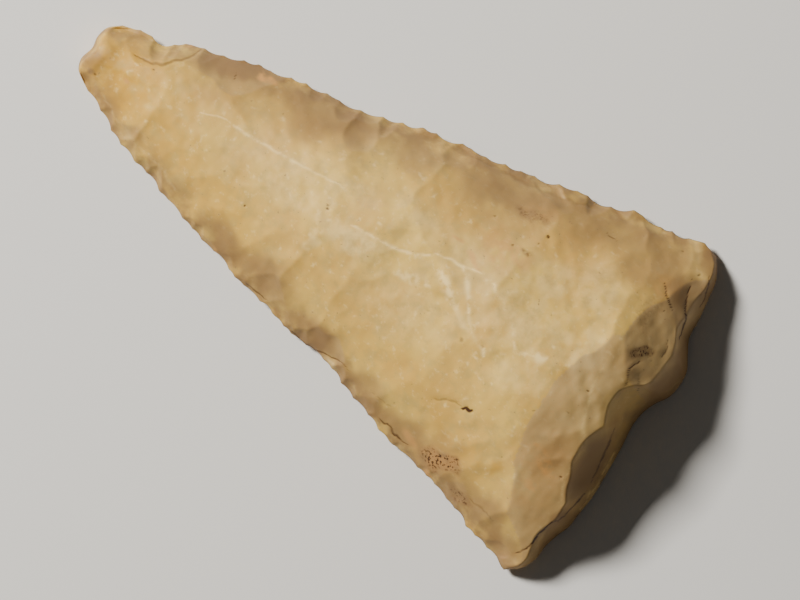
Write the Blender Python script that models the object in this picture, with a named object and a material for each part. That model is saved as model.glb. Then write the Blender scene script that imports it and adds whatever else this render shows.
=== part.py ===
"""Knapped stone gouge: a triangular flint tool, flat below and domed above, with a steep
working bit at its wide end. One solid piece, lying on its flat face, dome up.

+X runs from the narrow poll to the bit, +Y across, +Z up. The origin is the centre of the
footprint, on the surface that the tool lies on. The outline, the flake scars and the facets
are given as percent of the tool's own length, bit width and thickness.
"""
from collections import namedtuple

import bmesh
import bpy
import numpy as np

# Driving dimensions in metres and degrees
LENGTH = 0.091
BIT_WIDTH = 0.0515
THICKNESS = 0.0155
SIDE_EDGE_HEIGHT = 0.0026
SIDE_EDGE_STEEPNESS = 62.0
BIT_EDGE_HEIGHT = 0.0018
BIT_FACE_STEEPNESS = 66.0
POLL_ROUNDING = 0.002
POLL_STEEPNESS = 78.0
UNDERSIDE_SCAR_REACH = 0.009
UNDERSIDE_SCAR_SPACING = 0.0095
BIT_THINNING_REACH = 0.013
BIT_THINNING_SPACING = 0.016
EDGE_CHIP_SPACING = 0.0052
EDGE_CHIP_REACH = 0.003
EDGE_CHIP_DEPTH = 0.0008
RIDGE_WANDER = 0.0008
RIDGE_WANDER_LENGTH = 0.013

# Fineness of the facets
ROWS_ALONG = 82
ROWS_ACROSS = 40
UNDERSIDE_RINGS = (1.0, 0.93, 0.84, 0.72, 0.55, 0.34)
HALVED_RINGS = (2, 4)
SHARP_ANGLE = 10.0

# The outline: percent along from the poll tip, percent across from the middle line
LOWER_MARGIN = (
    (2.2, -8.7), (3.8, -10.5), (5.5, -11.5), (8.8, -14.3), (10.4, -15.7), (13.7, -17.5),
    (16.5, -18.6), (22.0, -21.4), (27.5, -23.9), (33.0, -26.2), (38.5, -28.5), (44.0, -29.7),
    (49.5, -32.0), (54.9, -32.4), (60.4, -35.7), (65.9, -38.3), (71.4, -40.4), (76.9, -41.7),
    (82.4, -44.3), (87.9, -47.4), (91.2, -48.5), (94.3, -50.1),
)
UPPER_MARGIN = (
    (2.2, 9.1), (3.8, 10.5), (5.5, 11.3), (8.8, 11.7), (10.4, 13.6), (12.1, 15.9),
    (13.7, 16.7), (16.5, 18.4), (22.0, 21.2), (27.5, 23.7), (33.0, 25.6), (38.5, 27.0),
    (44.0, 30.3), (49.5, 33.4), (54.9, 35.3), (60.4, 37.1), (65.9, 39.4), (71.4, 42.1),
    (76.9, 43.9), (80.5, 46.6), (82.4, 46.6), (87.9, 48.2), (91.0, 50.1), (93.6, 48.4),
)
POLL_EDGE = (
    (2.2, -8.7), (0.6, -6.8), (0.0, -4.4), (0.4, 0.0), (0.1, 3.0), (0.5, 6.2), (2.2, 9.1),
)
BIT_EDGE = (
    (94.3, -50.1), (96.4, -46.8), (97.3, -42.7), (97.4, -38.8), (97.9, -35.0), (98.6, -31.1),
    (98.7, -27.2), (98.9, -21.4), (98.7, -15.5), (98.2, -6.0), (97.7, 1.0), (97.9, 4.5),
    (98.6, 8.0), (99.7, 11.5), (100.0, 15.5), (99.7, 19.5), (98.4, 23.3), (97.2, 27.0),
    (96.8, 32.5), (96.2, 38.0), (95.5, 43.5), (93.6, 48.4),
)

# The dome before it was flaked: percent along, then percent across or percent of thickness
CREST_LINE = ((0, 0), (19, 3.5), (33, 5.5), (45, 7), (60, 6), (72, 4), (82, 1), (100, 0))
CREST_HEIGHT = (
    (0, 29), (4, 32), (12, 42), (28, 59), (50, 80), (72, 97), (84, 101), (91, 97), (100, 84),
)
BLOCK_LOWER = ((0, -5), (14, -16.5), (44, -29), (72, -39.5), (100, -51))
BLOCK_UPPER = ((0, 5), (14, 15.6), (44, 29), (72, 40.8), (100, 52))
DOME_FULLNESS = 2.15

# Each flake scar is a dish. The blow fell at its strike point and the flake ended at its aim,
# both as percent along and across. Width is percent of the length, depth percent of the
# thickness. Ending 2 feathers out, and a higher number breaks off in a step.
Scar = namedtuple("Scar", "strike aim width depth ending")
DORSAL_SCARS = (
    Scar((5.5, -12.4), (13.7, 3.9), 12.1, 3.9, 2),
    Scar((9.3, -16.1), (8.5, -10.1), 8.8, 3.9, 2),
    Scar((20.3, -22.9), (39.6, 10.9), 33.0, 6.5, 2),
    Scar((22.5, -23.7), (20.9, -17.9), 8.8, 3.9, 2),
    Scar((37.9, -29.1), (40.7, -5.8), 14.3, 5.5, 2),
    Scar((32.6, -28.2), (33.0, -19.0), 9.9, 6.5, 2),
    Scar((41.9, -31.1), (42.0, -19.0), 7.7, 6.5, 2),
    Scar((47.8, -32.0), (49.5, 2.9), 12.1, 5.5, 2),
    Scar((56.6, -34.0), (64.3, 10.9), 26.4, 8.1, 2),
    Scar((53.1, -34.0), (52.9, -24.5), 9.9, 9.0, 4),
    Scar((62.6, -36.9), (62.3, -29.9), 8.8, 5.2, 3),
    Scar((69.8, -40.8), (78.0, -5.4), 24.2, 7.1, 2),
    Scar((72.0, -41.4), (70.9, -35.0), 7.7, 5.2, 3),
    Scar((84.1, -45.6), (83.5, -25.2), 12.1, 5.5, 2),
    Scar((82.4, -44.7), (82.2, -37.7), 6.6, 6.5, 3),
    Scar((91.8, -50.1), (89.6, -36.9), 9.9, 5.5, 2),
    Scar((91.2, -49.3), (90.9, -41.9), 6.0, 9.0, 3),
    Scar((3.8, 10.7), (8.2, 1.9), 8.8, 2.9, 2),
    Scar((7.6, 14.2), (10.9, 7.2), 11.0, 5.2, 5),
    Scar((18.7, 24.3), (19.8, 8.5), 16.5, 7.1, 3),
    Scar((28.0, 26.2), (35.5, 1.2), 24.2, 6.8, 2),
    Scar((31.9, 26.8), (31.3, 20.6), 9.9, 8.4, 2),
    Scar((39.6, 28.7), (41.4, 15.9), 8.8, 8.4, 2),
    Scar((46.7, 33.0), (46.2, 5.0), 15.4, 6.1, 2),
    Scar((53.7, 35.0), (53.5, 26.2), 6.6, 7.1, 2),
    Scar((64.3, 40.8), (61.0, 5.0), 22.0, 7.7, 2),
    Scar((65.4, 39.8), (65.4, 34.6), 18.7, 7.7, 3),
    Scar((78.6, 46.6), (76.9, -3.9), 19.8, 7.4, 2),
    Scar((77.5, 45.4), (78.0, 38.1), 9.9, 7.1, 2),
    Scar((89.6, 51.5), (86.8, 29.1), 12.1, 6.5, 2),
    Scar((85.7, 48.5), (85.2, 41.6), 8.8, 7.1, 2),
)
BULB_SHARE = 0.4
SCAR_HALF_SHARE = 0.58
EDGE_CHIP_SEEDS = (3, 4)

# The facets above the bit face are flat. Each has the middle of its upper border, percent along
# and across, the way it faces in degrees from +X, its slope, and the radius of its border,
# percent of the length
Facet = namedtuple("Facet", "middle facing slope radius")
BIT_FACETS = (
    Facet((84.7, 21.4), 21, .12, 27.5),
    Facet((87.7, 24.5), -4, .42, 11.0),
    Facet((89.4, 38.3), -18, .50, 7.0),
    Facet((90.1, 12.4), 2, .26, 4.4),
    Facet((88.1, 2.3), 0, .30, 9.9),
    Facet((84.5, -11.7), 6, .15, 33.0),
)

# The steep bit face is a row of hollow flutes: percent across, how much steeper in degrees,
# and the radius of the hollow as percent of the bit width
Flute = namedtuple("Flute", "across steeper radius")
BIT_FLUTES = (
    Flute(-40, 0, 8.0), Flute(-16, -2, 9.5), Flute(4, 2, 9.0), Flute(17, 1, 10.0), Flute(34, 3, 11.5),
)

FINE = np.linspace(0.0, 1.0, 2001)


def along(percent):
    return (np.asarray(percent) / 100 - 0.5) * LENGTH


def across(percent):
    return np.asarray(percent) / 100 * BIT_WIDTH


def of_thickness(percent):
    return np.asarray(percent) / 100 * THICKNESS


def smooth(knots, values, where):
    """Values of a smooth curve through the knots."""
    slope = np.gradient(values, knots, axis=0)
    cell = np.clip(np.searchsorted(knots, where, side="right") - 1, 0, len(knots) - 2)
    width = knots[cell + 1] - knots[cell]
    t = np.clip((where - knots[cell]) / width, 0, 1)
    if values.ndim == 2:
        width = width[..., None]
        t = t[..., None]
    start = (2 * t**3 - 3 * t**2 + 1) * values[cell] + (t**3 - 2 * t**2 + t) * width * slope[cell]
    end = (3 * t**2 - 2 * t**3) * values[cell + 1] + (t**3 - t**2) * width * slope[cell + 1]
    return start + end


def edge_curve(stations, share):
    """Points of an outline edge, at shares 0 to 1 of its way through the stations."""
    percent = np.array(stations, float)
    points = np.stack([along(percent[:, 0]), across(percent[:, 1])], axis=1)
    steps = np.linalg.norm(np.diff(points, axis=0), axis=1)
    way = np.concatenate([[0.0], np.cumsum(steps)]) / steps.sum()
    return smooth(way, points, share)


def waves(x, y, size, seed, count=9):
    """Smooth uneven waves between about -1 and 1, size metres from crest to crest."""
    chance = np.random.default_rng(seed)
    total = np.zeros_like(x)
    for _ in range(count):
        angle = chance.uniform(0, 2 * np.pi)
        length = size * chance.uniform(0.7, 1.6)
        phase = chance.uniform(0, 2 * np.pi)
        total += np.sin(2 * np.pi * (x * np.cos(angle) + y * np.sin(angle)) / length + phase)
    return total / np.sqrt(count)


Chip = namedtuple("Chip", "place reach half depth")


def margin_chips(side_length, spacing, reach, depth, seed):
    """Trimming scars in a row along one margin, each a little different."""
    chance = np.random.default_rng(seed)
    chips = []
    place = spacing * chance.uniform(0.2, 0.8)
    while place < side_length:
        size = chance.uniform(0.55, 1.3)
        chips.append(Chip(place, reach * size * chance.uniform(0.8, 1.2),
                          spacing * size * 0.62, depth * size * chance.uniform(0.6, 1.2)))
        place += spacing * chance.uniform(0.75, 1.25) * (0.6 + 0.4 * size)
    return chips


LOWER = edge_curve(LOWER_MARGIN, FINE)
UPPER = edge_curve(UPPER_MARGIN, FINE)
POLL = edge_curve(POLL_EDGE, FINE)
BIT = edge_curve(BIT_EDGE, FINE)
SIDE_LENGTH = np.hypot(*(UPPER[-1] - UPPER[0]))
SLANT, SPREAD = (UPPER[-1] - UPPER[0]) / SIDE_LENGTH
CHIP_SIZES = (EDGE_CHIP_SPACING, EDGE_CHIP_REACH, EDGE_CHIP_DEPTH)
CHIP_ROWS = [margin_chips(SIDE_LENGTH, *CHIP_SIZES, seed) for seed in EDGE_CHIP_SEEDS]


def ways_in(x, y):
    """Distances in from the lower margin, the upper margin, the poll and the bit edge."""
    from_lower = (y - np.interp(x, LOWER[:, 0], LOWER[:, 1])) * SLANT
    from_upper = (np.interp(x, UPPER[:, 0], UPPER[:, 1]) - y) * SLANT
    from_poll = x - np.interp(y, POLL[:, 1], POLL[:, 0])
    from_bit = np.interp(y, BIT[:, 1], BIT[:, 0]) - x
    return [np.clip(way, 0, None) for way in (from_lower, from_upper, from_poll, from_bit)]


def dome(x, y):
    """The rough block before the visible flakes came off."""
    percent = (x / LENGTH + 0.5) * 100
    stations = np.array(CREST_HEIGHT, float)
    crest = of_thickness(smooth(stations[:, 0], stations[:, 1], percent))
    stations = np.array(CREST_LINE, float)
    middle = across(smooth(stations[:, 0], stations[:, 1], percent))
    stations = np.array(BLOCK_LOWER, float)
    low = across(smooth(stations[:, 0], stations[:, 1], percent))
    stations = np.array(BLOCK_UPPER, float)
    high = across(smooth(stations[:, 0], stations[:, 1], percent))
    side = np.where(y > middle, (y - middle) / (high - middle), (middle - y) / (middle - low))
    from_poll = ways_in(x, y)[2]
    rounding = np.sqrt(1 - (1 - np.clip(from_poll / POLL_ROUNDING, 0, 1)) ** 2)
    rise = (crest - SIDE_EDGE_HEIGHT) * (1 - np.clip(side, 0, 1.2) ** DOME_FULLNESS)
    return SIDE_EDGE_HEIGHT + rise * rounding


def dish(scar, x, y):
    """Depth of one scar's hollow, below zero outside it, deepest towards its strike point."""
    strike = np.array((along(scar.strike[0]), across(scar.strike[1])))
    aim = np.array((along(scar.aim[0]), across(scar.aim[1])))
    reach = np.linalg.norm(aim - strike)
    way = (aim - strike) / reach
    half = SCAR_HALF_SHARE * reach
    centre = aim - way * half
    forward = ((x - centre[0]) * way[0] + (y - centre[1]) * way[1]) / half
    sideways = ((y - centre[1]) * way[0] - (x - centre[0]) * way[1]) / (scar.width / 200 * LENGTH)
    rim = np.hypot(forward, sideways) ** scar.ending
    return of_thickness(scar.depth) * (1 - rim) * (1 - BULB_SHARE * np.clip(forward, -1.2, 1.2))


def bit_facet(facet, x, y):
    """Depth of one flat facet, growing from its curved upper border towards the bit."""
    angle = np.radians(facet.facing)
    beyond_x = x - along(facet.middle[0])
    beyond_y = y - across(facet.middle[1])
    forward = beyond_x * np.cos(angle) + beyond_y * np.sin(angle)
    sideways = beyond_y * np.cos(angle) - beyond_x * np.sin(angle)
    return facet.slope * (forward - sideways**2 / (facet.radius / 50 * LENGTH))


def edge_chips(x, y):
    """Hollows of the last trimming along both margins."""
    ways = ways_in(x, y)
    cut = np.zeros_like(x)
    for k, (start, turn) in enumerate(((LOWER[0], -1), (UPPER[0], 1))):
        run = (x - start[0]) * SLANT + (y - start[1]) * SPREAD * turn
        for chip in CHIP_ROWS[k]:
            lobe = 1 - ((run - chip.place) / chip.half) ** 2 - (ways[k] / chip.reach) ** 2
            cut = np.maximum(cut, chip.depth * lobe)
    return cut


def bit_face(flute, x, y):
    """One steep hollow flute that rises from the bit edge."""
    steepness = np.tan(np.radians(BIT_FACE_STEEPNESS + flute.steeper))
    hollow = (y - across(flute.across)) ** 2 / (2 * across(flute.radius))
    return BIT_EDGE_HEIGHT + steepness * ways_in(x, y)[3] + hollow


def underside(x, y):
    """Flat in the middle, with shallow scars that lift it towards every edge."""
    lower_way, upper_way, _, bit_way = ways_in(x, y)
    reach = np.minimum(UNDERSIDE_SCAR_REACH, 0.28 * (lower_way + upper_way))
    height = np.zeros_like(x)
    for way, shift in ((lower_way, 0.0), (upper_way, 0.67)):
        lobe = np.abs(np.sin(np.pi * (x / UNDERSIDE_SCAR_SPACING + shift)))
        lift = SIDE_EDGE_HEIGHT * (0.3 + 0.3 * lobe)
        height = np.maximum(height, lift * (1 - (way / (reach * (0.7 + 0.3 * lobe))) ** 1.5))
    lobe = np.abs(np.sin(np.pi * (y / BIT_THINNING_SPACING + 0.13)))
    lift = BIT_EDGE_HEIGHT * (0.3 + 0.35 * lobe)
    bit_reach = BIT_THINNING_REACH * (0.7 + 0.3 * lobe)
    return np.maximum(height, lift * (1 - (bit_way / bit_reach) ** 1.3))


def top_face(x, y, bottom):
    """The lowest of the dome, its scars and the bit face, brought down to the rim."""
    cut = edge_chips(x, y)
    bent_x = x + RIDGE_WANDER * waves(x, y, RIDGE_WANDER_LENGTH, 21)
    bent_y = y + RIDGE_WANDER * waves(x, y, RIDGE_WANDER_LENGTH, 22)
    for scar in DORSAL_SCARS:
        cut = np.maximum(cut, dish(scar, bent_x, bent_y))
    # The flat facets wander less than the scars, or they would look dented
    calm_x = 0.7 * x + 0.3 * bent_x
    calm_y = 0.7 * y + 0.3 * bent_y
    for facet in BIT_FACETS:
        cut = np.maximum(cut, bit_facet(facet, calm_x, calm_y))
    height = dome(x, y) - cut
    for flute in BIT_FLUTES:
        height = np.minimum(height, bit_face(flute, x, y))
    lower_way, upper_way, poll_way, bit_way = ways_in(x, y)
    limits = [
        np.tan(np.radians(SIDE_EDGE_STEEPNESS)) * np.minimum(lower_way, upper_way),
        np.tan(np.radians(POLL_STEEPNESS)) * poll_way,
        np.tan(np.radians(BIT_FACE_STEEPNESS + 8)) * bit_way,
    ]
    nearest = np.minimum.reduce([lower_way, upper_way, poll_way, bit_way])
    gap = np.minimum.reduce([height - bottom] + limits)
    return bottom + np.maximum(gap, 0.45 * nearest)


def graded(count, first, last):
    """Shares 0 to 1 in count steps, the steps at the ends narrower by the given shares."""
    middles = (np.arange(count) + 0.5) / count
    steps = 1 - first * np.exp(-middles / 0.06) - last * np.exp(-(1 - middles) / 0.06)
    return np.concatenate([[0.0], np.cumsum(steps)]) / steps.sum()


def plan_grid(rows_along, rows_across):
    """Points of a grid stretched between the four edges of the outline."""
    s = graded(rows_along, 0.45, 0.72)
    t = graded(rows_across, 0.6, 0.6)
    lower = edge_curve(LOWER_MARGIN, s)[:, None, :]
    upper = edge_curve(UPPER_MARGIN, s)[:, None, :]
    poll = edge_curve(POLL_EDGE, t)[None, :, :]
    bit = edge_curve(BIT_EDGE, t)[None, :, :]
    s = s[:, None, None]
    t = t[None, :, None]
    corners = ((1 - s) * (1 - t) * lower[0, 0] + s * (1 - t) * lower[-1, 0]
               + (1 - s) * t * upper[0, 0] + s * t * upper[-1, 0])
    return (1 - t) * lower + t * upper + (1 - s) * poll + s * bit - corners


def add_top(mesh, grid):
    """The upper face as a grid of quads. Returns its rim, anticlockwise seen from above."""
    rows, columns = grid.shape[:2]
    bmesh.ops.create_grid(mesh, x_segments=rows - 1, y_segments=columns - 1, size=1.0)
    mesh.verts.ensure_lookup_table()
    x, y = grid[..., 0], grid[..., 1]
    bottom = underside(x, y)
    height = top_face(x, y, bottom)
    order = [mesh.verts[j * rows + i] for i in range(rows) for j in range(columns)]
    for vert, place in zip(order, np.dstack([x, y, height]).reshape(-1, 3)):
        vert.co = place
    table = [order[i * columns:(i + 1) * columns] for i in range(rows)]
    rim = [table[i][0] for i in range(rows - 1)]
    rim += [table[-1][j] for j in range(columns - 1)]
    rim += [table[i][-1] for i in range(rows - 1, 0, -1)]
    rim += [table[0][j] for j in range(columns - 1, 0, -1)]
    return rim


def add_underside(mesh, rim):
    """Rings of faces that close in from the rim to the flat middle of the underside."""
    outline = np.array([vert.co for vert in rim])[:, :2]
    spine = np.clip(outline[:, 0], along(12), along(72))
    inner = np.stack([spine, np.zeros_like(spine)], axis=1)
    ring = list(rim)
    picks = np.arange(len(rim))
    for number, share in enumerate(UNDERSIDE_RINGS[1:], start=1):
        if number in HALVED_RINGS:
            picks = picks[::2]
        flat = inner[picks] + (outline[picks] - inner[picks]) * share
        height = underside(flat[:, 0], flat[:, 1])
        fresh = [mesh.verts.new((x, y, z)) for (x, y), z in zip(flat, height)]
        step = len(ring) // len(fresh)
        for k, vert in enumerate(fresh):
            after = fresh[(k + 1) % len(fresh)]
            outer = [ring[(k * step + n) % len(ring)] for n in range(step + 1)]
            if step == 1:
                mesh.faces.new((outer[1], outer[0], vert, after))
            else:
                mesh.faces.new((outer[1], outer[0], vert))
                mesh.faces.new((outer[1], vert, after))
                mesh.faces.new((outer[2], outer[1], after))
        ring = fresh
    mesh.faces.new(list(reversed(ring)))


def flint():
    material = bpy.data.materials.new("flint_honey")
    material.use_nodes = True
    shader = material.node_tree.nodes["Principled BSDF"]
    shader.inputs["Base Color"].default_value = (0.50, 0.36, 0.19, 1.0)
    shader.inputs["Roughness"].default_value = 0.5
    shader.inputs["Metallic"].default_value = 0.0
    return material


def make_gouge():
    mesh = bmesh.new()
    rim = add_top(mesh, plan_grid(ROWS_ALONG, ROWS_ACROSS))
    add_underside(mesh, rim)
    box = np.array([vert.co for vert in mesh.verts])
    middle = (box.min(axis=0) + box.max(axis=0)) / 2
    bmesh.ops.translate(mesh, verts=mesh.verts, vec=(-middle[0], -middle[1], 0.0))
    bmesh.ops.triangulate(mesh, faces=[face for face in mesh.faces if len(face.verts) > 3])
    bmesh.ops.recalc_face_normals(mesh, faces=mesh.faces)
    data = bpy.data.meshes.new("stone_gouge")
    mesh.to_mesh(data)
    mesh.free()
    data.shade_smooth()
    data.set_sharp_from_angle(angle=np.radians(SHARP_ANGLE))
    data.materials.append(flint())
    gouge = bpy.data.objects.new("stone_gouge", data)
    bpy.context.scene.collection.objects.link(gouge)
    return gouge


for old in list(bpy.data.objects):
    bpy.data.objects.remove(old, do_unlink=True)
make_gouge()
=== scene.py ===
"""Finished look of a knapped stone gouge of honey flint, lying on its flat face.

The stone is one mesh: a fine grid stretched between the four edges of the outline carries
the flaked upper face, and rings of faces close the plainer underside. Places on the stone
are percent of its length along from the poll, and percent of its bit width across.
"""
from collections import namedtuple

import bmesh
import bpy
import numpy as np
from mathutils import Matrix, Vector


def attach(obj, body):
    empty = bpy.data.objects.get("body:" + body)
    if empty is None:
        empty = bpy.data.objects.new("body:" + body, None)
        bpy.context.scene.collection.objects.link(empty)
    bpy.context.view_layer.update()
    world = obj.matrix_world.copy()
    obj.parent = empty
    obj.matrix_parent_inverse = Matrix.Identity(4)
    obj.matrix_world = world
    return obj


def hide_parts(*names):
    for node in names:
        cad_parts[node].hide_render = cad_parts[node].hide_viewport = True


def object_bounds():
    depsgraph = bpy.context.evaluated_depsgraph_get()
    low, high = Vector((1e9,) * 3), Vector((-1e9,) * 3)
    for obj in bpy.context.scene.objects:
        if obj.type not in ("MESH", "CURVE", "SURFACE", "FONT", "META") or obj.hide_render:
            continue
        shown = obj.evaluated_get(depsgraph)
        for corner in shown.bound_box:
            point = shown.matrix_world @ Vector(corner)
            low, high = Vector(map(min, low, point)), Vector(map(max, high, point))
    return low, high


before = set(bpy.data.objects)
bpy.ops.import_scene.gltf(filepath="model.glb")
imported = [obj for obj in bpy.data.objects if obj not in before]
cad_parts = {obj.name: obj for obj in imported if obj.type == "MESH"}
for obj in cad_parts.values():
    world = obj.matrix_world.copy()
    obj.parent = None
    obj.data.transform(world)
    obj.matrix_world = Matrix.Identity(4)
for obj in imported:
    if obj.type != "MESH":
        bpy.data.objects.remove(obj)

bl_info = {
    "name": "Stone gouge",
    "version": (1, 0, 0),
    "blender": (4, 5, 0),
    "location": "View3D > Sidebar > Gouge",
    "description": "Builds a knapped flint gouge and the studio it lies in",
    "category": "Add Mesh",
}

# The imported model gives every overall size. The bit width and the thickness that percents are
# taken of are a little less than the box, and every size is a hair smaller than the solid's,
# so that the finer mesh stays inside it
MM = 0.001
BOX_LOW, BOX_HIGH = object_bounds()
INSIDE = 0.9985
BIT_SHARE = 0.9984
THICKNESS_SHARE = 0.981
LENGTH = (BOX_HIGH.x - BOX_LOW.x) * INSIDE
BIT_WIDTH = (BOX_HIGH.y - BOX_LOW.y) * BIT_SHARE * INSIDE
THICKNESS = (BOX_HIGH.z - BOX_LOW.z) * THICKNESS_SHARE

# The sizes and seeds of the solid, so that the finer mesh has its form
SIDE_EDGE_HEIGHT = 2.6 * MM
SIDE_EDGE_STEEPNESS = 62.0
BIT_EDGE_HEIGHT = 1.8 * MM
BIT_FACE_STEEPNESS = 66.0
POLL_ROUNDING = 2.0 * MM
POLL_STEEPNESS = 78.0
UNDERSIDE_SCAR_REACH = 9.0 * MM
UNDERSIDE_SCAR_SPACING = 9.5 * MM
BIT_THINNING_REACH = 13.0 * MM
BIT_THINNING_SPACING = 16.0 * MM
EDGE_CHIP_SPACING = 5.2 * MM
EDGE_CHIP_REACH = 3.0 * MM
EDGE_CHIP_DEPTH = 0.8 * MM
EDGE_CHIP_SEEDS = (3, 4)

# The small trimming scars: how much of their depth they bite out of the outline, and their
# seeds on the lower and the upper margin
BITE_SHARE = 0.9
SMALL_CHIP_SEEDS = (11, 12)

# The outline: percent along from the poll tip, percent across from the middle line
LOWER_MARGIN = (
    (2.2, -8.7), (3.8, -10.5), (5.5, -11.5), (8.8, -14.3), (10.4, -15.7), (13.7, -17.5),
    (16.5, -18.6), (22.0, -21.4), (27.5, -23.9), (33.0, -26.2), (38.5, -28.5), (44.0, -29.7),
    (49.5, -32.0), (54.9, -32.4), (60.4, -35.7), (65.9, -38.3), (71.4, -40.4), (76.9, -41.7),
    (82.4, -44.3), (87.9, -47.4), (91.2, -48.5), (94.3, -50.1),
)
UPPER_MARGIN = (
    (2.2, 9.1), (3.8, 10.5), (5.5, 11.3), (8.8, 11.7), (10.4, 13.6), (12.1, 15.9),
    (13.7, 16.7), (16.5, 18.4), (22.0, 21.2), (27.5, 23.7), (33.0, 25.6), (38.5, 27.0),
    (44.0, 30.3), (49.5, 33.4), (54.9, 35.3), (60.4, 37.1), (65.9, 39.4), (71.4, 42.1),
    (76.9, 43.9), (80.5, 46.6), (82.4, 46.6), (87.9, 48.2), (91.0, 50.1), (93.6, 48.4),
)
POLL_EDGE = (
    (2.2, -8.7), (0.6, -6.8), (0.0, -4.4), (0.4, 0.0), (0.1, 3.0), (0.5, 6.2), (2.2, 9.1),
)
BIT_EDGE = (
    (94.3, -50.1), (96.4, -46.8), (97.3, -42.7), (97.4, -38.8), (97.9, -35.0), (98.6, -31.1),
    (98.7, -27.2), (98.9, -21.4), (98.7, -15.5), (98.2, -6.0), (97.7, 1.0), (97.9, 4.5),
    (98.6, 8.0), (99.7, 11.5), (100.0, 15.5), (99.7, 19.5), (98.4, 23.3), (97.2, 27.0),
    (96.8, 32.5), (96.2, 38.0), (95.5, 43.5), (93.6, 48.4),
)

# The dome before it was flaked: percent along, then percent across or percent of thickness
CREST_LINE = ((0, 0), (19, 3.5), (33, 5.5), (45, 7), (60, 6), (72, 4), (82, 1), (100, 0))
CREST_HEIGHT = (
    (0, 29), (4, 32), (12, 42), (28, 59), (50, 80), (72, 97), (84, 101), (91, 97), (100, 84),
)
BLOCK_LOWER = ((0, -5), (14, -16.5), (44, -29), (72, -39.5), (100, -51))
BLOCK_UPPER = ((0, 5), (14, 15.6), (44, 29), (72, 40.8), (100, 52))
DOME_FULLNESS = 2.15

# Each flake scar is a dish. The blow fell at its strike point and the flake ended at its aim,
# both as percent along and across. Width is percent of the length, depth percent of the
# thickness. Ending 2 feathers out, and a higher number breaks off in a step. The last share
# is how much of a darker, duller colour is painted on the scar as painted shade.
Scar = namedtuple("Scar", "strike aim width depth ending tone")
DORSAL_SCARS = (
    Scar((5.5, -12.4), (13.7, 3.9), 12.1, 3.9, 2, 0.0),
    Scar((9.3, -16.1), (8.5, -10.1), 8.8, 3.9, 2, 0.1),
    Scar((20.3, -22.9), (39.6, 10.9), 33.0, 6.5, 2, 0.0),
    Scar((22.5, -23.7), (20.9, -17.9), 8.8, 3.9, 2, 0.1),
    Scar((37.9, -29.1), (40.7, -5.8), 14.3, 5.5, 2, 0.05),
    Scar((32.6, -28.2), (33.0, -19.0), 9.9, 6.5, 2, 0.2),
    Scar((41.9, -31.1), (42.0, -19.0), 7.7, 6.5, 2, 0.2),
    Scar((47.8, -32.0), (49.5, 2.9), 12.1, 5.5, 2, 0.0),
    Scar((56.6, -34.0), (64.3, 10.9), 26.4, 8.1, 2, 0.0),
    Scar((53.1, -34.0), (52.9, -24.5), 9.9, 9.0, 4, 0.3),
    Scar((62.6, -36.9), (62.3, -29.9), 8.8, 5.2, 3, 0.1),
    Scar((69.8, -40.8), (78.0, -5.4), 24.2, 7.1, 2, 0.0),
    Scar((72.0, -41.4), (70.9, -35.0), 7.7, 5.2, 3, 0.15),
    Scar((84.1, -45.6), (83.5, -25.2), 12.1, 5.5, 2, 0.03),
    Scar((82.4, -44.7), (82.2, -37.7), 6.6, 6.5, 3, 0.3),
    Scar((91.8, -50.1), (89.6, -36.9), 9.9, 5.5, 2, 0.05),
    Scar((91.2, -49.3), (90.9, -41.9), 6.0, 9.0, 3, 0.25),
    Scar((3.8, 10.7), (8.2, 1.9), 8.8, 2.9, 2, 0.0),
    Scar((7.6, 14.2), (10.9, 7.2), 11.0, 5.2, 5, 0.0),
    Scar((18.7, 24.3), (19.8, 8.5), 16.5, 7.1, 3, 0.3),
    Scar((28.0, 26.2), (35.5, 1.2), 24.2, 6.8, 2, 0.1),
    Scar((31.9, 26.8), (31.3, 20.6), 9.9, 8.4, 2, 0.1),
    Scar((39.6, 28.7), (41.4, 15.9), 8.8, 8.4, 2, 0.25),
    Scar((46.7, 33.0), (46.2, 5.0), 15.4, 6.1, 2, 0.12),
    Scar((53.7, 35.0), (53.5, 26.2), 6.6, 7.1, 2, 0.15),
    Scar((64.3, 40.8), (61.0, 5.0), 22.0, 7.7, 2, 0.12),
    Scar((65.4, 39.8), (65.4, 34.6), 18.7, 7.7, 3, 0.2),
    Scar((78.6, 46.6), (76.9, -3.9), 19.8, 7.4, 2, 0.0),
    Scar((77.5, 45.4), (78.0, 38.1), 9.9, 7.1, 2, 0.12),
    Scar((89.6, 51.5), (86.8, 29.1), 12.1, 6.5, 2, 0.12),
    Scar((85.7, 48.5), (85.2, 41.6), 8.8, 7.1, 2, 0.05),
)
BULB_SHARE = 0.4
SCAR_HALF_SHARE = 0.58

# The facets above the bit are flat. Each has the middle of its upper border, percent along
# and across, the way it faces in degrees from +X, its slope, the radius of its border, percent
# of the length, and the share of a darker, duller colour painted on it as painted shade
Facet = namedtuple("Facet", "middle facing slope radius tone")
BIT_FACETS = (
    Facet((84.7, 21.4), 21, 0.12, 27.5, 0.1),
    Facet((87.7, 24.5), -4, 0.42, 11.0, 0.65),
    Facet((89.4, 38.3), -18, 0.50, 7.0, 0.75),
    Facet((90.1, 12.4), 2, 0.26, 4.4, 0.4),
    Facet((88.1, 2.3), 0, 0.30, 9.9, 0.4),
    Facet((84.5, -11.7), 6, 0.15, 33.0, 0.5),
)

# The steep bit face is a row of hollow flutes: percent across, how much steeper in degrees,
# and the radius of the hollow as percent of the bit width
Flute = namedtuple("Flute", "across steeper radius")
BIT_FLUTES = (
    Flute(-40, 0, 8.0), Flute(-16, -2, 9.5), Flute(4, 2, 9.0), Flute(17, 1, 10.0), Flute(34, 3, 11.5),
)

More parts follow.
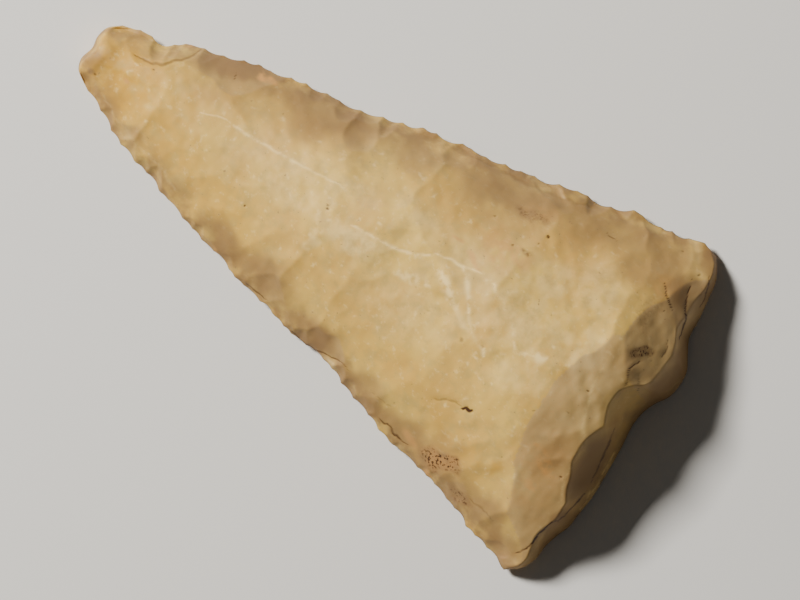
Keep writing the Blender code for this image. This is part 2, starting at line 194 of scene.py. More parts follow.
# How the ridges, the cracks and the borders of the patches wander: height, length and seed of
# each set of waves
RIDGE_WANDER = 0.8 * MM
RIDGE_BENDS = ((RIDGE_WANDER, 13.0 * MM, 21), (0.3 * RIDGE_WANDER, 4.0 * MM, 23))
CRACK_BENDS = ((0.1 * MM, 2.0 * MM, 31), (0.04 * MM, 0.8 * MM, 37))
PATCH_BENDS = ((0.5 * MM, 5.0 * MM, 33), (0.2 * MM, 2.0 * MM, 35))

# The unevenness of the flaked faces: share, length and seed of each set of waves. The hollows
# meet in faint ridges, and the bit face is rougher than the rest
FACE_WAVES = ((1.0, 7.0 * MM, 5), (0.55, 2.9 * MM, 6), (0.22, 1.2 * MM, 7))
FACE_HOLLOWS = (0.9, 5.2 * MM, 9)
BIT_FACE_WAVES = (3.0, 3.0 * MM, 8)

# Marks of the surface, placed in percent along and across. The width of a line and the half
# sizes of a patch or pit are percent of the length, the depth of a line percent of the
# thickness. Dark, pale and strength are shares, and a turn is in degrees
Line = namedtuple("Line", "points width depth dark pale")
Patch = namedtuple("Patch", "place size turn strength")
Pit = namedtuple("Pit", "place size dark")
LINES = (
    # The step where the poll flake broke off
    Line(((6.5, 4.7), (8.7, 5.2), (10.4, 6.6),
          (11.8, 9.5), (13.3, 12.8), (13.8, 15.5)), 0.31, 0.97, 0.5, 0),
    # Cracks of the upper bit corner
    Line(((89.1, 35.3), (90, 33.6), (91, 32.2), (92.6, 30.1)), 0.16, 0.39, 0.8, 0),
    Line(((92.2, 40), (93, 36.3), (94.2, 32.6),
          (95.2, 29.1), (95.8, 25.2)), 0.17, 0.45, 0.8, 0),
    Line(((94.3, 43.5), (95.2, 39.4), (95.7, 35.3)), 0.14, 0.32, 0.7, 0),
    # The step crack above the middle of the bit
    Line(((93.3, 7.4), (92.6, 9.7), (92.4, 12), (92.9, 15.1)), 0.15, 0.39, 0.75, 0),
    Line(((94.5, 23.3), (95.1, 21), (95.4, 18.3)), 0.14, 0.32, 0.6, 0),
    Line(((93.7, 12), (94.5, 9.7), (95.1, 7.8)), 0.12, 0.39, 0.6, 0),
    Line(((92.4, 19.2), (93.4, 16.9), (94.6, 16.3)), 0.15, 0.39, 0.4, 0),
    # Cracks of the lower bit corner and of the bit face
    Line(((94.1, -45.2), (95.1, -42.3), (95.5, -38.1),
          (95.6, -35), (96.3, -31.5)), 0.17, 0.39, 0.8, 0),
    Line(((96.5, -31.8), (97.3, -25.6), (97.6, -20.6)), 0.16, 0.39, 0.7, 0),
    Line(((95.5, -3.1), (96.6, -10.5), (97.5, -18.3)), 0.2, 0.65, 0.6, 0),
    # Cracks along the lower margin
    Line(((47.1, -30.9), (50, -31.4), (52.9, -31.2),
          (55.1, -30.5), (57.3, -30.1), (59, -30.9)), 0.15, 0.45, 0.65, 0),
    Line(((38.8, -27.4), (41, -27.7), (43.2, -27.8)), 0.14, 0.39, 0.6, 0),
    Line(((66.3, -36.3), (68.2, -36.7), (70.2, -37.5), (72.2, -37.7)), 0.17, 0.65, 0.7, 0),
    Line(((63.4, -31.7), (65.4, -32.2), (67.6, -32.4)), 0.11, 0.32, 0.4, 0),
    # The small flake with the dark slit
    Line(((70.9, -23.9), (72.2, -23.1), (73.5, -21.7), (75.2, -21.2)), 0.2, 0.65, 0.45, 0),
    Line(((75.4, -21.9), (75.9, -21), (76.5, -21.2), (77, -20.4)), 0.27, 0.97, 1, 0),
    # Short scratches of the upper side
    Line(((19.9, 16.3), (20.2, 15.3), (20.4, 14)), 0.1, 0.26, 0.6, 0),
    Line(((77.9, 36.9), (79, 36.7), (80.3, 36.7)), 0.12, 0.16, 0.6, 0),
    # The brown streak near the lower bit corner
    Line(((83.8, -39.6), (85.4, -40.2), (86.7, -40.2), (88.9, -41.4)), 0.2, 0.16, 0.45, 0),
    # The shelves along the upper margin, with a painted shadow under their rims
    Line(((55.7, 33.2), (58.8, 34.4), (63.2, 35.5),
          (67.6, 36.7), (71.4, 38.6), (74.7, 40.6)), 0.34, 0.97, 0.3, 0),
    Line(((13.7, 15.5), (17.6, 18.1), (21.4, 20.4), (25.3, 22.3)), 0.31, 0.65, 0.25, 0),
    # Crushed ridges, and the light borders of the facets above the bit, where a broad painted highlight
    # runs along the ridges
    Line(((19.2, 2.1), (22.5, 4.3), (25.8, 4.3), (30.2, 4.9),
          (34.6, 5.6), (38.5, 6.4), (42.9, 7.6)), 0.22, 0, 0, 0.6),
    Line(((46.8, 0.6), (48.4, 1), (50.5, 1.4),
          (53.1, 1.9), (56.6, 3.7), (59.6, 7)), 0.23, 0.32, 0, 0.9),
    Line(((59.6, 7), (61.5, 8), (63.8, 8.5), (66.4, 9.9)), 0.23, 0, 0, 0.9),
    Line(((63.6, 8.5), (64.5, 7.6), (65.7, 5.2), (67.5, 1.6), (68.2, -0.4)), 0.42, 0.19, 0, 1),
    Line(((68.2, -0.4), (69.8, -3.9), (71.3, -5.4), (73.4, -7)), 0.34, 0, 0, 0.4),
    Line(((72.9, -5.8), (73.7, -7.6)), 0.34, 0, 0, 0.8),
    Line(((68.7, 9.1), (70.4, 7.2), (72.2, 5.4)), 0.29, 0, 0, 1),
    Line(((75.7, 0.4), (77.3, -1.7), (78.8, -0.6), (80.3, 0.6)), 0.23, 0, 0, 0.9),
    Line(((79.9, 1), (80.7, 0.2), (81.2, 1.2)), 0.68, 0, 0, 1),
    Line(((83.7, 28.3), (84.1, 24.3), (85.5, 17.9),
          (86.9, 13.4), (88.8, 7.8)), 1.09, 0, 0, 0.2),
    Line(((88.8, 7.8), (89.1, 2.7), (90, -1.2), (91.2, -6.8),
          (93, -11.7), (93.3, -16.7), (93.8, -21.4), (95.3, -26.8)), 0.34, 0, 0, 0.35),
    # Ripples of the great flake: shallow grooves with painted highlights along their crests
    Line(((59.8, 4.5), (61, 4.1), (62.5, 2.9), (63.8, 1.7), (65.2, -0.4)), 0.75, 0.32, 0, 0.95),
    Line(((56.2, -2.7), (57.7, -1.9), (59.2, -1.4), (61.2, -1)), 0.82, 0.26, 0, 0.75),
    Line(((47.1, -1.6), (48.2, -2.7), (49.3, -3.9)), 1.64, 0, 0, 0.3),
    Line(((65.4, -0.6), (67.1, -2.5), (69.6, -4.5)), 0.61, 0.26, 0, 0.4),
    # Light lines of the poll and the lower side, and a painted highlight along a ridge of the bit face
    Line(((12.6, -1.9), (13.1, -6.6), (13.6, -10.5), (15.4, -12.6)), 0.41, 0, 0, 0.1),
    # Its faint dark is a painted shadow along the border of the band of small scars
    Line(((5.2, -8.3), (7.8, -10.1), (9.9, -11.7),
          (13.7, -14), (18.1, -15.1), (22.5, -18.1)), 0.34, 0.52, 0.12, 0.1),
    Line(((41.9, -1.2), (42.7, -5), (43.5, -8.2)), 0.61, 0, 0, 0.4),
    Line(((97.7, -8.9), (98.4, -16.3), (98.5, -25.2)), 0.48, 0, 0, 0.5),
)
PATCHES = {
    "brown": (
        Patch((19.2, 17.5), (8.8, 2.6), 25, 1),
        Patch((23.6, 15.9), (7.7, 2.2), 20, 0.5),
        Patch((4.9, 10.5), (3.7, 1.4), 14, 0.5),
        Patch((3.1, -5.4), (0.9, 0.5), 0, 0.8),
        Patch((10.4, -12.8), (7.7, 1.4), -17, 0.45),
        Patch((35.2, 20.2), (10.4, 4.4), 14, 0.85),
        Patch((40.7, 21.0), (3.7, 3.3), 10, 0.55),
        Patch((45.6, 28.3), (5.5, 2.0), 18, 0.45),
        Patch((48.4, 25.6), (5.9, 3.3), 8, 0.7),
        Patch((39.0, 23.7), (6.2, 3.1), 16, 0.7),
        Patch((53.7, 28.7), (3.5, 1.5), 20, 0.35),
        Patch((64.8, 31.5), (11.0, 3.7), 12, 0.9),
        Patch((64.8, 25.2), (6.6, 3.3), 10, 0.35),
        Patch((65.4, 35.9), (11.0, 1.4), 12, 0.5),
        Patch((67.0, 21.7), (4.4, 1.8), -25, 0.3),
        Patch((77.5, 38.1), (11.0, 4.2), 12, 0.8),
        Patch((86.3, 37.7), (7.1, 5.3), 12, 0.75),
        Patch((94.2, 45.8), (3.7, 2.6), -50, 0.9),
        Patch((33.0, -21.7), (5.1, 2.2), -14, 0.8),
        Patch((41.2, -22.9), (5.1, 2.6), -6, 0.85),
        Patch((51.6, -28.3), (5.5, 2.2), -4, 1),
        Patch((57.5, -29.1), (2.9, 1.2), -20, 0.6),
        Patch((22.5, -20.6), (6.6, 1.0), -18, 0.3),
        Patch((62.1, -33.0), (5.5, 2.4), -15, 0.75),
        Patch((71.4, -35.7), (5.9, 2.4), -13, 0.7),
        Patch((77.5, -36.3), (4.4, 2.0), -10, 0.4),
        Patch((82.5, -40.6), (3.1, 1.4), -10, 0.8),
        Patch((90.7, -43.5), (3.1, 1.5), -15, 0.8),
        Patch((85.7, -40.4), (5.5, 3.1), -16, 0.9),
        Patch((76.4, -31.5), (3.3, 2.0), -12, 0.5),
        Patch((94.0, -36.9), (2.4, 4.8), -12, 0.6),
        Patch((21.4, 10.5), (12.1, 2.9), 15, 0.4),
        Patch((89.6, 32.2), (2.6, 2.4), 0, 0.6),
        Patch((85.8, 24.1), (2.2, 2.9), -20, 0.4),
        Patch((12.6, -14.8), (6.6, 1.3), -18, 0.4),
        Patch((92.4, 13.2), (2.4, 2.6), 0, 0.25),
        Patch((91.8, 36.1), (2.9, 3.7), 20, 1),
        Patch((77.5, -36.1), (3.7, 1.6), -10, 1),
        Patch((95.3, 39.6), (1.8, 4.4), 10, 0.85),
        Patch((91.8, 1.9), (2.9, 6.4), 14, 0.28),
        # On the steep bit face these patches are partly a stain and partly painted shade
        Patch((96.2, -15.5), (3.1, 7.7), 8, 0.95),
        Patch((98.6, 15.5), (2.9, 17.6), 0, 1),
        Patch((97.7, -35.0), (2.2, 6.6), 0, 1),
        Patch((94.2, -42.7), (3.3, 3.7), 0, 0.75),
        Patch((90.2, -20.2), (3.1, 5.3), -14, 0.65),
        Patch((85.7, -15.5), (1.8, 5.5), -20, 0.3),
        Patch((92.1, -28.2), (4.0, 7.0), -16, 0.5),
        Patch((83.0, -25.2), (4.4, 4.4), 0, 0.12),
        Patch((26.9, -1.9), (3.5, 6.6), 0, 0.12),
    ),
    "golden": (
        Patch((7.1, -1.6), (8.1, 6.4), -6, 1),
        Patch((13.7, 4.3), (6.6, 3.7), 10, 0.45),
        Patch((17.0, -8.9), (9.9, 3.7), -14, 0.5),
        Patch((29.1, -14.4), (7.7, 4.0), -15, 0.5),
        Patch((28.0, 15.5), (8.8, 3.3), 16, 0.35),
        Patch((53.3, 20.6), (6.6, 3.3), 5, 0.35),
        Patch((59.9, 19.0), (4.4, 2.6), 0, 0.35),
        Patch((83.0, 15.5), (6.6, 4.8), 0, 0.3),
        Patch((80.8, 4.7), (2.4, 1.2), -10, 0.7),
        Patch((84.1, -29.5), (1.3, 1.1), 0, 0.8),
        Patch((23.6, 8.7), (7.7, 1.8), 6, 0.3),
        Patch((63.2, -22.5), (8.8, 3.3), 0, 0.3),
        Patch((76.4, -29.9), (8.8, 2.9), -12, 0.35),
    ),
    "pale": (
        Patch((36.8, 0.0), (7.7, 3.5), 0, 0.35),
        Patch((48.7, -2.7), (5.5, 2.4), 12, 0.75),
        Patch((45.1, 8.2), (3.3, 1.8), 0, 0.4),
        Patch((54.4, 12.8), (4.4, 2.0), 5, 0.45),
        Patch((65.9, 12.8), (6.6, 2.9), 0, 0.35),
        Patch((76.4, 7.8), (9.9, 5.5), 0, 0.5),
        Patch((72.0, 16.5), (6.6, 4.6), 0, 0.4),
        Patch((75.8, 19.8), (3.7, 2.9), 30, 0.55),
        Patch((81.3, 24.3), (3.7, 4.4), 0, 0.6),
        Patch((85.6, 8.5), (2.6, 4.8), 20, 0.6),
        Patch((79.7, -7.0), (4.4, 2.9), 20, 0.4),
        Patch((59.9, -9.7), (8.8, 4.0), 0, 0.3),
        Patch((43.4, -7.8), (1.1, 0.9), 0, 0.7),
        Patch((39.5, -0.8), (0.9, 0.5), 0, 0.6),
        Patch((92.6, 42.7), (1.6, 1.8), 0, 0.3),
        Patch((91.3, 1.9), (2.6, 4.4), 0, 0.4),
        Patch((90.4, 47.4), (2.2, 1.1), -20, 0.5),
        Patch((54.4, -32.6), (5.1, 0.5), -4, 0.9),
        Patch((61.5, -35.0), (4.4, 0.5), -18, 0.5),
        Patch((86.9, -41.9), (2.2, 0.5), -15, 0.6),
        Patch((94.0, -47.4), (1.8, 0.9), 0, 0.6),
        Patch((98.4, -22.3), (0.7, 2.6), 0, 0.5),
    ),
    "rosy": (
        Patch((67.4, 17.9), (5.5, 2.6), -10, 0.5),
        Patch((64.7, 11.5), (1.8, 0.7), -8, 0.6),
        Patch((61.2, 12.4), (1.1, 0.4), 0, 0.7),
        Patch((91.3, -21.7), (1.8, 1.1), 0, 0.8),
        Patch((87.4, -19.4), (1.0, 0.5), 0, 0.7),
        Patch((89.6, 34.2), (1.3, 2.2), 0, 0.3),
        Patch((24.8, 20.6), (1.3, 0.4), 18, 0.9),
        Patch((90.2, -21.4), (2.6, 1.3), -20, 0.7),
        Patch((89.8, -28.0), (1.5, 1.1), 0, 0.5),
        Patch((77.7, -36.1), (4.0, 1.8), -10, 0.4),
        Patch((23.6, -22.1), (1.5, 0.4), -18, 0.8),
        Patch((33.3, -25.6), (1.8, 0.5), -12, 0.8),
        Patch((76.9, -40.0), (1.3, 0.5), -14, 0.8),
        Patch((72.0, -36.9), (2.0, 0.8), -14, 0.5),
        Patch((7.7, -3.1), (0.8, 0.5), 0, 0.7),
        Patch((76.4, 27.2), (7.7, 4.4), 0, 0.2),
        Patch((90.1, -25.2), (4.8, 8.8), -10, 0.2),
        Patch((67.6, 17.5), (5.5, 3.3), 0, 0.3),
        Patch((11.8, 15.9), (1.8, 0.4), 40, 0.5),
        Patch((70.9, 31.1), (4.4, 1.8), 0, 0.3),
    ),
    "speckle": (
        Patch((77.4, -36.3), (3.7, 1.5), -8, 0.8),
        Patch((92.2, 16.9), (2.2, 1.3), 35, 1),
        Patch((67.4, 28.9), (3.5, 1.1), 0, 0.4),
        Patch((82.7, -40.4), (2.2, 1.1), 0, 0.6),
        Patch((90.0, 25.2), (2.2, 3.3), 0, 0.25),
        Patch((69.8, 20.6), (1.1, 0.8), 0, 0.4),
    ),
}
PITS = (
    Pit((71.4, 27.4), (0.23, 0.19), 1),
    Pit((70.9, 24.3), (0.18, 0.18), 0.8),
    Pit((42.6, 0.8), (0.26, 0.23), 0.8),
    Pit((42.4, 1.7), (0.22, 0.18), 0.6),
    Pit((32.3, -11.1), (0.18, 0.16), 0.9),
    Pit((9.9, 4.3), (0.18, 0.16), 0.7),
    Pit((29.1, 14.0), (0.18, 0.14), 0.5),
    Pit((58.8, 10.3), (0.18, 0.16), 0.5),
    Pit((67.8, 20.2), (0.19, 0.18), 0.6),
    Pit((63.4, 23.9), (0.18, 0.18), 0.7),
    Pit((88.9, 0.8), (0.21, 0.18), 0.8),
    Pit((84.2, -11.5), (0.19, 0.14), 0.7),
    Pit((93.0, -21.7), (0.25, 0.21), 0.8),
    Pit((84.3, -26.2), (0.14, 0.12), 0.6),
    Pit((79.2, -33.4), (0.21, 0.18), 0.9),
    Pit((78.6, -28.2), (0.16, 0.11), 0.5),
    Pit((72.6, -5.8), (0.26, 0.23), 0.45),
    Pit((69.6, -7.4), (0.30, 0.44), 0.5),
    Pit((63.4, -6.2), (0.44, 0.21), 0.35),
    Pit((92.9, 41.7), (0.23, 0.18), 0.7),
    Pit((89.0, 44.5), (0.26, 0.19), 0.6),
    Pit((91.6, 28.5), (0.16, 0.14), 0.7),
    Pit((88.4, -7.0), (0.44, 0.14), 0.5),
    Pit((79.9, -15.5), (0.23, 0.12), 0.4),
    Pit((3.1, -5.4), (0.30, 0.23), 0.6),
    Pit((61.6, -19.4), (0.14, 0.14), 0.5),
    Pit((64.7, -22.1), (0.12, 0.11), 0.5),
)

PIT_DEPTH = 0.12 * MM

FINE = np.linspace(0.0, 1.0, 6001)
UNDERSIDE_RINGS = (0.985, 0.96, 0.92, 0.87, 0.8, 0.72, 0.62, 0.5, 0.34)


def along(percent):
    return (np.asarray(percent) / 100 - 0.5) * LENGTH


def across(percent):
    return np.asarray(percent) / 100 * BIT_WIDTH


def of_thickness(percent):
    return np.asarray(percent) / 100 * THICKNESS


def linear(code):
    """Linear RGB of an sRGB hex colour."""
    parts = [int(code[k:k + 2], 16) / 255 for k in (0, 2, 4)]
    return tuple(v / 12.92 if v <= 0.04045 else ((v + 0.055) / 1.055) ** 2.4 for v in parts)


def smooth(knots, values, where):
    """Values of a smooth curve through the knots."""
    slope = np.gradient(values, knots, axis=0)
    cell = np.clip(np.searchsorted(knots, where, side="right") - 1, 0, len(knots) - 2)
    width = knots[cell + 1] - knots[cell]
    t = np.clip((where - knots[cell]) / width, 0, 1)
    if values.ndim == 2:
        width = width[..., None]
        t = t[..., None]
    start = (2 * t**3 - 3 * t**2 + 1) * values[cell] + (t**3 - 2 * t**2 + t) * width * slope[cell]
    end = (3 * t**2 - 2 * t**3) * values[cell + 1] + (t**3 - t**2) * width * slope[cell + 1]
    return start + end


def station_curve(stations, percent):
    """Values of a smooth curve through stations, each a percent along and a value."""
    table = np.array(stations, float)
    return smooth(table[:, 0], table[:, 1], percent)


def way_along(points):
    """Way along a curve to each of its points, in metres."""
    steps = np.linalg.norm(np.diff(points, axis=0), axis=1)
    return np.concatenate([[0.0], np.cumsum(steps)])


def edge_curve(stations, share):
    """Points of an outline edge, at shares 0 to 1 of its way through the stations."""
    percent = np.array(stations, float)
    points = np.stack([along(percent[:, 0]), across(percent[:, 1])], axis=1)
    way = way_along(points)
    return smooth(way / way[-1], points, share)


def waves(x, y, size, seed, count=9):
    """Smooth uneven waves between about -1 and 1, size metres from crest to crest."""
    chance = np.random.default_rng(seed)
    total = np.zeros_like(x)
    for _ in range(count):
        angle = chance.uniform(0, 2 * np.pi)
        length = size * chance.uniform(0.7, 1.6)
        phase = chance.uniform(0, 2 * np.pi)
        total += np.sin(2 * np.pi * (x * np.cos(angle) + y * np.sin(angle)) / length + phase)
    return total / np.sqrt(count)


def shifted(x, y, bends):
    """The places moved by uneven waves."""
    shift_x = sum(height * waves(x, y, size, seed) for height, size, seed in bends)
    shift_y = sum(height * waves(x, y, size, seed + 1) for height, size, seed in bends)
    return x + shift_x, y + shift_y


def placed(point):
    """A point given as percent along and across, in metres."""
    return np.array((along(point[0]), across(point[1])))


def way_to_line(points, x, y):
    """Distance to a line through the points, and the share of the line where it is nearest."""
    route = edge_curve(points, np.linspace(0, 1, 6 * len(points)))
    nearest = np.full_like(x, 1.0)
    share = np.zeros_like(x)
    for k, (start, end) in enumerate(zip(route[:-1], route[1:])):
        step = end - start
        t = np.clip(((x - start[0]) * step[0] + (y - start[1]) * step[1]) / (step @ step), 0, 1)
        way = np.hypot(x - start[0] - t * step[0], y - start[1] - t * step[1])
        share = np.where(way < nearest, (k + t) / (len(route) - 1), share)
        nearest = np.minimum(nearest, way)
    return nearest, share


def surface_marks(x, y):
    """Depth of the cracks and pits, and how strong each kind of mark is at each place."""
    marks = {name: np.zeros_like(x) for name in ("dark", "crush", *PATCHES)}
    cut = np.zeros_like(x)
    ragged_x, ragged_y = shifted(x, y, CRACK_BENDS)
    for line in LINES:
        way, share = way_to_line(line.points, ragged_x, ragged_y)
        width = line.width / 100 * LENGTH * (0.4 + 0.6 * np.sin(np.pi * np.clip(share, 0.02, 0.98)))
        near = np.exp(-(way / width) ** 2)
        cut += of_thickness(line.depth) * near
        marks["dark"] = np.maximum(marks["dark"], line.dark * np.clip(1.5 - way / width, 0, 1))
        marks["crush"] = np.maximum(marks["crush"], line.pale * near)
    bent_x, bent_y = shifted(x, y, PATCH_BENDS)
    for kind, patches in PATCHES.items():
        for patch in patches:
            fade = np.clip(1.35 - oval(patch.place, patch.size, patch.turn, bent_x, bent_y), 0, 1)
            weight = patch.strength * fade**2 * (3 - 2 * fade)
            marks[kind] = np.maximum(marks[kind], weight)
    for pit in PITS:
        reach = oval(pit.place, pit.size, 0, ragged_x, ragged_y)
        cut += PIT_DEPTH * pit.dark * np.exp(-reach**2)
        marks["dark"] = np.maximum(marks["dark"], pit.dark * np.clip(1.6 - reach, 0, 1))
    return cut, marks


def oval(place, size, turn, x, y):
    """Distance from the middle of an oval, 1 on its border."""
    middle = placed(place)
    angle = np.radians(turn)
    forward = (x - middle[0]) * np.cos(angle) + (y - middle[1]) * np.sin(angle)
    sideways = (y - middle[1]) * np.cos(angle) - (x - middle[0]) * np.sin(angle)
    return np.hypot(forward / size[0], sideways / size[1]) / LENGTH * 100


Chip = namedtuple("Chip", "place reach half depth")


def margin_chips(side_length, spacing, reach, depth, seed):
    """Trimming scars in a row along one margin, each a little different."""
    chance = np.random.default_rng(seed)
    chips = []
    place = spacing * chance.uniform(0.2, 0.8)
    while place < side_length:
        size = chance.uniform(0.55, 1.3)
        chips.append(Chip(place, reach * size * chance.uniform(0.8, 1.2),
                          spacing * size * 0.62, depth * size * chance.uniform(0.6, 1.2)))
        place += spacing * chance.uniform(0.75, 1.25) * (0.6 + 0.4 * size)
    return chips


def nibbled(curve, chips, inward):
    """The outline edge with a small bite taken out at every chip."""
    way = way_along(curve)
    bite = np.zeros_like(way)
    for chip in chips:
        lobe = 1 - ((way - chip.place) / chip.half) ** 2
        bite = np.maximum(bite, BITE_SHARE * chip.depth * lobe)
    tangent = np.gradient(curve, way, axis=0)
    tangent /= np.linalg.norm(tangent, axis=1)[:, None]
    normal = np.stack([-tangent[:, 1], tangent[:, 0]], axis=1) * inward
    ends = np.clip(np.minimum(way, way[-1] - way) / (2 * MM), 0, 1)
    return curve + normal * (bite * ends)[:, None]


class Form:
    """Heights of the upper and lower face, and what each place of the surface is like."""

    def __init__(self, settings):
        self.settings = settings
        self.lower = edge_curve(LOWER_MARGIN, FINE)
        self.upper = edge_curve(UPPER_MARGIN, FINE)
        self.poll = edge_curve(POLL_EDGE, FINE)
        self.bit = edge_curve(BIT_EDGE, FINE)
        rise = self.upper[-1] - self.upper[0]
        side_length = np.hypot(rise[0], rise[1])
        self.slant, self.spread = rise / side_length
        small = (settings.chip_spacing, settings.chip_reach, settings.chip_depth)
        small_chips = [margin_chips(side_length, *small, seed) for seed in SMALL_CHIP_SEEDS]
        broad = (EDGE_CHIP_SPACING, EDGE_CHIP_REACH, EDGE_CHIP_DEPTH)
        broad_chips = [margin_chips(side_length, *broad, seed) for seed in EDGE_CHIP_SEEDS]
        self.chips = [broad_chips[k] + small_chips[k] for k in (0, 1)]
        self.rim_lower = nibbled(self.lower, small_chips[0], 1)
        self.rim_upper = nibbled(self.upper, small_chips[1], -1)

    def ways_in(self, x, y, lower=None, upper=None):
        """Distances in from the lower margin, the upper margin, the poll and the bit edge."""
        lower = self.lower if lower is None else lower
        upper = self.upper if upper is None else upper
        from_lower = (y - np.interp(x, lower[:, 0], lower[:, 1])) * self.slant
        from_upper = (np.interp(x, upper[:, 0], upper[:, 1]) - y) * self.slant
        from_poll = x - np.interp(y, self.poll[:, 1], self.poll[:, 0])
        from_bit = np.interp(y, self.bit[:, 1], self.bit[:, 0]) - x
        return [np.clip(way, 0, None) for way in (from_lower, from_upper, from_poll, from_bit)]

    def dome(self, x, y):
        """The rough block before the visible flakes came off."""
        percent = (x / LENGTH + 0.5) * 100
        crest = of_thickness(station_curve(CREST_HEIGHT, percent))
        middle = across(station_curve(CREST_LINE, percent))
        low = across(station_curve(BLOCK_LOWER, percent))
        high = across(station_curve(BLOCK_UPPER, percent))
        side = np.where(y > middle, (y - middle) / (high - middle), (middle - y) / (middle - low))
        from_poll = self.ways_in(x, y)[2]
        rounding = np.sqrt(1 - (1 - np.clip(from_poll / POLL_ROUNDING, 0, 1)) ** 2)
        rise = (crest - SIDE_EDGE_HEIGHT) * (1 - np.clip(side, 0, 1.2) ** DOME_FULLNESS)
        return SIDE_EDGE_HEIGHT + rise * rounding

    def dish(self, scar, x, y):
        """Depth of one scar's hollow with its ripples, below zero outside it."""
        strike = placed(scar.strike)
        aim = placed(scar.aim)
        reach = np.linalg.norm(aim - strike)
        way = (aim - strike) / reach
        half = SCAR_HALF_SHARE * reach
        centre = aim - way * half
        forward = ((x - centre[0]) * way[0] + (y - centre[1]) * way[1]) / half
        sideways = ((y - centre[1]) * way[0] - (x - centre[0]) * way[1]) / (scar.width / 200 * LENGTH)
        rim = np.hypot(forward, sideways) ** scar.ending
        hollow = of_thickness(scar.depth) * (1 - rim) * (1 - BULB_SHARE * np.clip(forward, -1.2, 1.2))
        run = np.hypot(x - strike[0], y - strike[1])
        height = self.settings.ripple_height * np.clip(run / reach, 0, 1) ** 1.5
        return hollow + height * np.sin(2 * np.pi * run / self.settings.ripple_spacing)

    def bit_facet(self, facet, x, y):
        """Depth of one flat facet, growing from its curved upper border towards the bit."""
        middle = placed(facet.middle)
        angle = np.radians(facet.facing)
        forward = (x - middle[0]) * np.cos(angle) + (y - middle[1]) * np.sin(angle)
        sideways = (y - middle[1]) * np.cos(angle) - (x - middle[0]) * np.sin(angle)
        return facet.slope * (forward - sideways**2 / (facet.radius / 50 * LENGTH))

    def edge_chips(self, x, y):
        """Hollows of the last trimming: broad ones as on the solid, and the small ones."""
        ways = self.ways_in(x, y)
        cut = np.zeros_like(x)
        for k, (start, turn) in enumerate(((self.lower[0], -1), (self.upper[0], 1))):
            run = (x - start[0]) * self.slant + (y - start[1]) * self.spread * turn
            for chip in self.chips[k]:
                lobe = 1 - ((run - chip.place) / chip.half) ** 2 - (ways[k] / chip.reach) ** 2
                cut = np.maximum(cut, chip.depth * lobe)
        return cut

    def bit_face(self, flute, x, y, bit_way):
        """One steep hollow flute that rises from the bit edge."""
        steepness = np.tan(np.radians(BIT_FACE_STEEPNESS + flute.steeper))
        hollow = (y - across(flute.across)) ** 2 / (2 * across(flute.radius))
        return BIT_EDGE_HEIGHT + steepness * bit_way + hollow

    def underside(self, x, y):
        """Flat in the middle, with shallow scars that lift it towards every edge."""
        lower_way, upper_way, _, bit_way = self.ways_in(x, y)
        reach = np.minimum(UNDERSIDE_SCAR_REACH, 0.28 * (lower_way + upper_way))
        height = np.zeros_like(x)
        for way, shift in ((lower_way, 0.0), (upper_way, 0.67)):
            lobe = np.abs(np.sin(np.pi * (x / UNDERSIDE_SCAR_SPACING + shift)))
            lift = SIDE_EDGE_HEIGHT * (0.3 + 0.3 * lobe)
            height = np.maximum(height, lift * (1 - (way / (reach * (0.7 + 0.3 * lobe))) ** 1.5))
        lobe = np.abs(np.sin(np.pi * (y / BIT_THINNING_SPACING + 0.13)))
        lift = BIT_EDGE_HEIGHT * (0.3 + 0.35 * lobe)
        bit_reach = BIT_THINNING_REACH * (0.7 + 0.3 * lobe)
        return np.maximum(height, lift * (1 - (bit_way / bit_reach) ** 1.3))

    def top_face(self, x, y, bottom):
        """Height of the upper face, and how strong each kind of mark is at each place."""
        softness = self.settings.ridge_softness
        bent_x, bent_y = shifted(x, y, RIDGE_BENDS)
        # The flat facets wander less than the scars, or they would look dented
        calm_x, calm_y = 0.7 * x + 0.3 * bent_x, 0.7 * y + 0.3 * bent_y
        hollows = [(self.dish(scar, bent_x, bent_y), scar.tone) for scar in DORSAL_SCARS]
        hollows += [(self.bit_facet(facet, calm_x, calm_y), facet.tone) for facet in BIT_FACETS]
        cut = self.edge_chips(x, y)
        # Painted shade: each place takes the share of the scar or facet that leads the cut there
        tone = np.zeros_like(x)
        for hollow, own_painted_shade in hollows:
            lead = hollow - cut
            tone = np.where(lead > 0, own_painted_shade, tone)
            blend = np.clip(softness - np.abs(lead), 0, None)
            cut = np.maximum(cut, hollow) + blend**2 / (4 * softness)
        height = self.dome(x, y) - cut
        unevenness = self.settings.unevenness
        for share, size, seed in FACE_WAVES:
            height += unevenness * share * waves(x, y, size, seed)
        share, size, seed = FACE_HOLLOWS
        height -= unevenness * share * np.abs(waves(bent_x, bent_y, size, seed))
        lower_way, upper_way, poll_way, bit_way = self.ways_in(x, y, self.rim_lower, self.rim_upper)
        share, size, seed = BIT_FACE_WAVES
        roughness = unevenness * share * waves(x, y, size, seed)
        for flute in BIT_FLUTES:
            height = np.minimum(height, self.bit_face(flute, x, y, bit_way) + roughness)
        limits = [
            np.tan(np.radians(SIDE_EDGE_STEEPNESS)) * np.minimum(lower_way, upper_way),
            np.tan(np.radians(POLL_STEEPNESS)) * poll_way,
            np.tan(np.radians(BIT_FACE_STEEPNESS + 8)) * bit_way,
        ]
        nearest = np.minimum.reduce([lower_way, upper_way, poll_way, bit_way])
        gap = np.minimum.reduce([height - bottom] + limits)
        height = bottom + np.maximum(gap, 0.45 * nearest)
        groove, marks = surface_marks(x, y)
        height -= groove * np.clip(nearest / (0.6 * MM), 0, 1)
        marks["tone"] = tone
        marks["rim_way"] = np.minimum.reduce([lower_way, upper_way, poll_way])
        return height, marks


def graded(count, first, last):
    """Shares 0 to 1 in count steps, the steps at the ends narrower by the given shares."""
    middles = (np.arange(count) + 0.5) / count
    steps = 1 - first * np.exp(-middles / 0.06) - last * np.exp(-(1 - middles) / 0.06)
    return np.concatenate([[0.0], np.cumsum(steps)]) / steps.sum()


